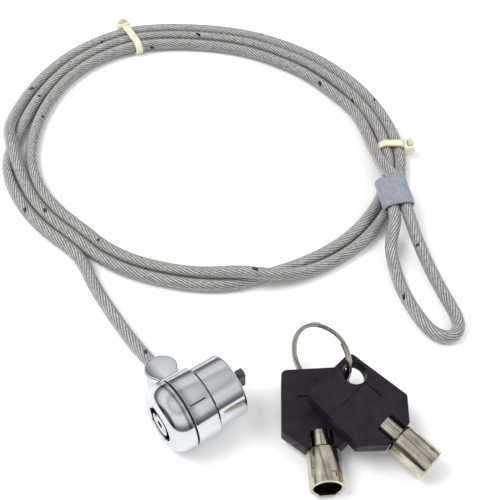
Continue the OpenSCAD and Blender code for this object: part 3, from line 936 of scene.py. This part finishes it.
def make_ferrule():
    """A pressed double-barrel sleeve with open, rounded ends."""

    def ring(x, w, h, power):
        pts = []
        for k in range(64):
            a = 2 * math.pi * k / 64
            c, s = math.cos(a), math.sin(a)
            y = w / 2 * math.copysign(abs(c) ** (2 / power), c)
            z = h / 2 * math.copysign(abs(s) ** (2 / power), s)
            pts.append((x, y, z))
        return pts

    half = FERRULE_LEN / 2
    rows = []
    inner_w, inner_h = 8.9, 4.5
    rows.append(ring(-half + 3.2, inner_w, inner_h, 2.6))
    rows.append(ring(-half + 0.35, inner_w, inner_h, 2.6))
    rows.append(ring(-half + 0.05, inner_w + 0.45, inner_h + 0.45, 2.6))
    rows.append(ring(-half, FERRULE_W - 0.9, FERRULE_H - 0.9, 2.7))
    rows.append(ring(-half + 0.12, FERRULE_W - 0.35, FERRULE_H - 0.35, 2.7))
    for k in range(15):
        x = -half + 0.4 + (FERRULE_LEN - 0.8) * k / 14
        waist = 0.35 * math.cos(math.pi * x / FERRULE_LEN) ** 2
        rows.append(ring(x, FERRULE_W - waist * 0.4, FERRULE_H - waist, 2.8))
    rows.append(ring(half - 0.12, FERRULE_W - 0.35, FERRULE_H - 0.35, 2.7))
    rows.append(ring(half, FERRULE_W - 0.9, FERRULE_H - 0.9, 2.7))
    rows.append(ring(half - 0.05, inner_w + 0.45, inner_h + 0.45, 2.6))
    rows.append(ring(half - 0.35, inner_w, inner_h, 2.6))
    rows.append(ring(half - 3.2, inner_w, inner_h, 2.6))
    verts = [p for row in rows for p in row]
    faces = grid_faces(len(rows), 64)
    last = (len(rows) - 1) * 64
    faces += [tuple(range(64)), tuple(range(last, last + 64))[::-1]]
    obj = mesh_object("ferrule_sleeve", verts, faces, FERRULE, 50)
    bm = bmesh.new()
    bm.from_mesh(obj.data)
    bmesh.ops.recalc_face_normals(bm, faces=bm.faces)
    bm.to_mesh(obj.data)
    bm.free()
    return shade(obj, 50)


ferrule = make_ferrule()
dress(ferrule, CRIMP, "cable_assembly", "crimp_alloy", "eye_ferrule")
# Faces inside the sleeve's bore take the dark steel: painted shade in the hollow
ferrule.data.materials.append(DARK_STEEL.mat)
back = FERRULE.inverted()
for face in ferrule.data.polygons:
    centre = back @ (face.center / MM)
    across = (abs(centre.y) / BORE_HALF_W) ** BORE_POWER
    wide = across + (abs(centre.z) / BORE_HALF_H) ** BORE_POWER > 1
    inside = abs(centre.x) < FERRULE_LEN / 2 - 0.3 and not wide
    face.material_index = 1 if inside else 0

# ---------------------------------------------------------------- lock head

collar = lathe(
    "collar_band",
    rounded(
        [
            (COLLAR_FRONT, COLLAR_D / 2, 0.16), (COLLAR_BACK, COLLAR_D / 2, 0.16),
            (COLLAR_BACK, SLEEVE_R + 0.05, 0.1), (COLLAR_FRONT, SLEEVE_R + 0.05, 0.1),
        ],
        6,
    ),
    steps=192,
)
slot_cut = block(
    "slot", (COLLAR_FRONT + 0.6, -0.2, COLLAR_D / 2 - 0.4), (COLLAR_FRONT + 5.5, 0.2, 12), turn_x(28)
)
cut(collar, slot_cut)
# A near-black block fills the slot in the band: painted shade in the slot
slot_shade = block(
    "collar_slot_shade",
    (COLLAR_FRONT + 0.65, -0.19, COLLAR_D / 2 - 0.5), (COLLAR_FRONT + 5.45, 0.19, COLLAR_D / 2 - 0.08),
    turn_x(28),
)
slot_shade.data.materials.append(SHADOW_STEEL.mat)
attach(slot_shade, "cable_assembly")


def arm_outline():
    """A straight neck that widens into a round head, in the arm's own plane."""
    neck = 3.2
    join_y = ARM_REACH - math.sqrt(ARM_R**2 - neck**2)
    start = math.degrees(math.atan2(join_y - ARM_REACH, neck))
    head = circle(0, ARM_REACH, ARM_R, 44, start, 180 - start)
    return [(-neck, 8.6), (neck, 8.6), (neck, join_y - 1.2), *head[1:-1], (-neck, join_y - 1.2)]


ARM = turn_x(-ARM_DROP)
arm = slab("collar_arm", arm_outline(), -ARM_T / 2, ARM_T / 2, ARM @ move(ARM_X, 0, 0))
bevel(arm, 0.55, 4, 40)
bore = rod("bore", CABLE_D / 2 + 0.15, 9.5, 24, ARM @ move(ARM_X, 0, 0) @ turn_x(-90))
cut(arm, bore)
collar = join("collar", collar, arm)
dress(collar, CHROME, "cable_assembly", "chrome", "swivel_collar")


def dome_profile():
    """The cap's section: a quarter ellipse that ends in a flat rim round the keyway."""
    rim = KEYWAY_R + FACE_RIM
    rise = COLLAR_D / 2 - rim
    dome = [
        (
            DOME_BACK - 0.25 - (DOME_BACK - 0.25 - FACE_X) * math.sin(a),
            rim + rise * math.cos(a),
        )
        for a in np.radians(np.linspace(0, 90, 25))
    ]
    return [
        (DOME_BACK, COLLAR_D / 2 - 0.2),
        *dome[:-1],
        (FACE_X, rim - 0.25),
        (FACE_X, KEYWAY_R + 0.35),
        (FACE_X + 0.1, KEYWAY_R + 0.1),
        (FACE_X + 0.35, KEYWAY_R),
        (FACE_X + 1.3, KEYWAY_R),
        (FACE_X + 1.3, SLEEVE_R),
        (DOME_BACK, SLEEVE_R),
    ]


cap = lathe("front_dome", dome_profile(), steps=192, angle=30)
lug = block("lug", (FACE_X - 1, -0.9, KEYWAY_R - 0.4), (FACE_X + 1.5, 0.9, KEYWAY_R + 0.9), turn_x(-24))
cut(cap, lug)
dress(cap, CHROME, "lock_body", "chrome", "front_cap")
# The keyway's inner wall takes the near-black shaded steel: painted shade
cap.data.materials.append(SHADOW_STEEL.mat)
for face in cap.data.polygons:
    x, y, z = face.center / MM
    if x > FACE_X + 0.25 and math.hypot(y, z) < KEYWAY_R + 0.1:
        face.material_index = 1

housing = lathe(
    "rear_shell",
    [
        (-REAR_LEN, REAR_D / 2 - 0.12), (-REAR_LEN + 0.12, REAR_D / 2),
        *[
            (-REAR_EDGE + REAR_EDGE * math.sin(a), REAR_D / 2 - REAR_EDGE + REAR_EDGE * math.cos(a))
            for a in np.radians(np.linspace(0, 90, 10))
        ],
        (0, REAR_PLATE_R), (-2.2, REAR_PLATE_R), (-2.2, SLEEVE_R), (-REAR_LEN, SLEEVE_R),
    ],
    steps=192,
)
dress(housing, CHROME, "lock_body", "chrome", "rear_housing")


# lock_sleeve and lock_core take the near-black shaded steel as painted shade inside the lock; the
# near-black washers darken the gaps beside the collar as painted shade
for node, look in {
    "cable_stop": DARK_STEEL, "lock_sleeve": SHADOW_STEEL, "collar_washers": WASHER_AND_GAP_SHADE,
    "pin_block": BRASS, "driver_pins": BRASS, "pin_springs": RING_STEEL,
    "spring_plate": DARK_STEEL, "core_stop_pin": DARK_STEEL, "spindle_clip": RING_STEEL,
    "key_pins": BRASS, "lock_core": SHADOW_STEEL, "core_post": CORE_STEEL, "rear_plate": CORE_STEEL,
    "nose_pins": DARK_STEEL, "t_bar_spindle": DARK_STEEL,
}.items():
    paint(node, look)

# Only the post's end is bright: its side stands in the keyway's shadow
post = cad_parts["core_post"].data
post.materials.append(SHADOW_STEEL.mat)
for face in post.polygons:
    face.material_index = 0 if face.normal.x < -0.5 else 1

# ---------------------------------------------------------------- keys and ring


def bow_outline():
    shoulder_x, wide = BOW_LEN - 5.6, BOW_HALF_W + BOW_FLARE
    notch_w = NECK_R + 0.3
    foot_w = notch_w + 1.6
    return rounded(
        [
            (0, -BOW_HALF_W, 1.8), (shoulder_x, -wide, 0.9), (BOW_LEN, -foot_w, 0.6),
            (BOW_LEN, -notch_w, 0.3), (NOTCH_X, -notch_w, 0.3), (NOTCH_X, notch_w, 0.3),
            (BOW_LEN, notch_w, 0.3), (BOW_LEN, foot_w, 0.6), (shoulder_x, wide, 0.9),
            (0, BOW_HALF_W, 1.8),
        ],
        6,
    )


def make_bow(name, place):
    half = BOW_T / 2
    bow = slab(name, bow_outline(), -half, half, place)
    cut(bow, rod("hole", HOLE_R, -5, 5, place @ move(*HOLE_AT, 0), 64))
    bevel(bow, 0.35, 4, 40)
    cutters = []
    for low in (half - 0.35, -half - 0.65):
        cutters.append(block("line", (8.8, -5.4, low), (9.25, 5.4, low + 1), place))
        cutters.append(block("line", (9.3, 4.95, low), (14.8, 5.4, low + 1), place))
    return cut(bow, *cutters)


def make_barrel(name, place):
    shoulder = NOTCH_X + NECK_LEN
    mouth = shoulder + BARREL_LEN
    r = KEY_D / 2
    bore_r = r - KEY_WALL
    profile = [
        (NOTCH_X + 0.05, 0), (NOTCH_X + 0.05, NECK_R), (shoulder - 0.15, NECK_R),
        (shoulder, NECK_R + 0.15), (shoulder, r - 0.85), (shoulder + 0.08, r - 0.7),
        (shoulder + 0.7, r - 0.08), (shoulder + 0.85, r), (mouth - 0.3, r),
        (mouth - 0.08, r - 0.08), (mouth, r - 0.3), (mouth, bore_r + 0.2),
        (mouth - 0.2, bore_r), (shoulder + 2, bore_r), (shoulder + 2, 0),
    ]
    barrel = lathe(name, profile, place, 128)
    notch = block("notch", (mouth - 3.2, -0.7, r - 0.5), (mouth - 1.5, 0.7, r + 1), place @ turn_x(-24))
    slit = block(
        "slit", (NOTCH_X + 0.9, -0.22, NECK_R - 0.4), (shoulder - 0.5, 0.22, NECK_R + 1), place
    )
    return cut(barrel, notch, slit)


for index, place in ((1, KEY_1), (2, KEY_2)):
    body = f"key_{index}"
    bow = make_bow(f"key_{index}_grip", place)
    dress(bow, KEY_PLASTIC, body, "key_plastic", f"key_{index}_bow")
    barrel = make_barrel(f"key_{index}_tube", place)
    dress(barrel, NICKEL, body, "key_nickel", f"key_{index}_barrel")


def make_ring():
    """Flat wire wound twice round, stepping up one layer where the turns pass each other."""
    deg = np.arange(25, 696, 3.0)
    height = 0.31 * (2 * ease(deg, 335, 385) - 1)
    rad = np.radians(deg)
    w, t, r = RING_T / 2, 0.28, 0.1
    section = rounded([(w, t, r), (-w, t, r), (-w, -t, r), (w, -t, r)], 3)
    verts = []
    for a, h in zip(rad, height):
        for x, y in section:
            verts.append(((RING_R + x) * math.cos(a), (RING_R + x) * math.sin(a), h + y))
    n, m = len(rad), len(section)
    faces = grid_faces(n, m)
    faces += [tuple(range(m))[::-1], tuple(range((n - 1) * m, n * m))]
    return mesh_object("split_ring_wire", verts, faces, RING, 40)


ring = make_ring()
dress(ring, RING_STEEL, "key_ring", "spring_steel", "split_ring")

# ---------------------------------------------------------------- where the cable leaves the arm

exit_point = arm_point(ARM_END)
exit_point[2] += FLOOR

# ---------------------------------------------------------------- floor, world and lights

FLOOR_HALF = 1400.0
floor = mesh_object(
    "floor",
    [
        (-FLOOR_HALF, -FLOOR_HALF, FLOOR), (FLOOR_HALF, -FLOOR_HALF, FLOOR),
        (FLOOR_HALF, FLOOR_HALF, FLOOR), (-FLOOR_HALF, FLOOR_HALF, FLOOR),
    ],
    [(0, 1, 2, 3)],
)
paper = Look("pale_floor", (0.9, 0.9, 0.9), 0.0, 0.6)
paper.tint(paper.noise(0.02, 2), [(0.3, (0.89, 0.89, 0.89)), (0.7, (0.92, 0.92, 0.92))])
floor.data.materials.append(paper.mat)

world = bpy.data.worlds.new("studio")
bpy.context.scene.world = world
world.use_nodes = True
wn, wl = world.node_tree.nodes, world.node_tree.links
backdrop = wn["Background"]
direction = wn.new("ShaderNodeTexCoord")
axes = wn.new("ShaderNodeSeparateXYZ")
wl.new(direction.outputs["Generated"], axes.inputs["Vector"])
sky = wn.new("ShaderNodeValToRGB")
stops = [
    (0.0, 0.5), (0.5, 0.35), (0.55, 0.16), (0.63, 0.4),
    (0.72, 0.95), (0.86, 1.1), (0.93, 0.7), (1.0, 1.0),
]
lift = wn.new("ShaderNodeMapRange")
lift.inputs["From Min"].default_value = -1
wl.new(axes.outputs["Z"], lift.inputs["Value"])
while len(sky.color_ramp.elements) < len(stops):
    sky.color_ramp.elements.new(0.5)
for element, (at, grey) in zip(sky.color_ramp.elements, stops):
    element.position = at
    element.color = (grey, grey, grey * 1.01, 1)
wl.new(lift.outputs["Result"], sky.inputs["Fac"])
swing = wn.new("ShaderNodeMapRange")
swing.inputs["From Min"].default_value = -1
wl.new(axes.outputs["X"], swing.inputs["Value"])
cards = wn.new("ShaderNodeValToRGB")
shades = [
    (0.0, 0.95), (0.03, 0.12), (0.075, 0.2), (0.12, 0.95), (0.3, 1.05),
    (0.48, 0.95), (0.55, 0.2), (0.61, 0.95), (0.8, 0.72), (1.0, 1.0),
]
while len(cards.color_ramp.elements) < len(shades):
    cards.color_ramp.elements.new(0.5)
for element, (at, grey) in zip(cards.color_ramp.elements, shades):
    element.position = at
    element.color = (grey, grey, grey, 1)
wl.new(swing.outputs["Result"], cards.inputs["Fac"])
shaded = wn.new("ShaderNodeMix")
shaded.data_type = "RGBA"
shaded.blend_type = "MULTIPLY"
shaded.inputs[0].default_value = 1.0
wl.new(sky.outputs["Color"], shaded.inputs[6])
wl.new(cards.outputs["Color"], shaded.inputs[7])
wl.new(shaded.outputs[2], backdrop.inputs["Color"])
backdrop.inputs["Strength"].default_value = 0.95
plain = wn.new("ShaderNodeBackground")
plain.inputs["Color"].default_value = (0.93, 0.93, 0.94, 1)
plain.inputs["Strength"].default_value = 1.0
seen = wn.new("ShaderNodeLightPath")
pick = wn.new("ShaderNodeMixShader")
wl.new(seen.outputs["Is Camera Ray"], pick.inputs["Fac"])
wl.new(backdrop.outputs[0], pick.inputs[1])
wl.new(plain.outputs[0], pick.inputs[2])
wl.new(pick.outputs[0], wn["World Output"].inputs["Surface"])


def softbox(name, at, target, size, power):
    """A square soft light at a place in metres, aimed at another."""
    data = bpy.data.lights.new(name, "AREA")
    data.shape = "RECTANGLE"
    data.size, data.size_y = size
    data.energy = power
    obj = bpy.data.objects.new(name, data)
    obj.location = at
    obj.rotation_euler = (Vector(target) - Vector(at)).to_track_quat("-Z", "Y").to_euler()
    obj.visible_glossy = False
    bpy.context.scene.collection.objects.link(obj)


CENTRE_M = (0.04, 0.05, 0.0)
softbox("key_light", (-0.35, 0.3, 0.75), CENTRE_M, (0.5, 0.5), 5.2)
softbox("fill_light", (0.55, -0.25, 0.5), CENTRE_M, (0.45, 0.3), 2.0)
softbox("front_light", (-0.3, -0.5, 0.35), CENTRE_M, (0.25, 0.35), 1.0)
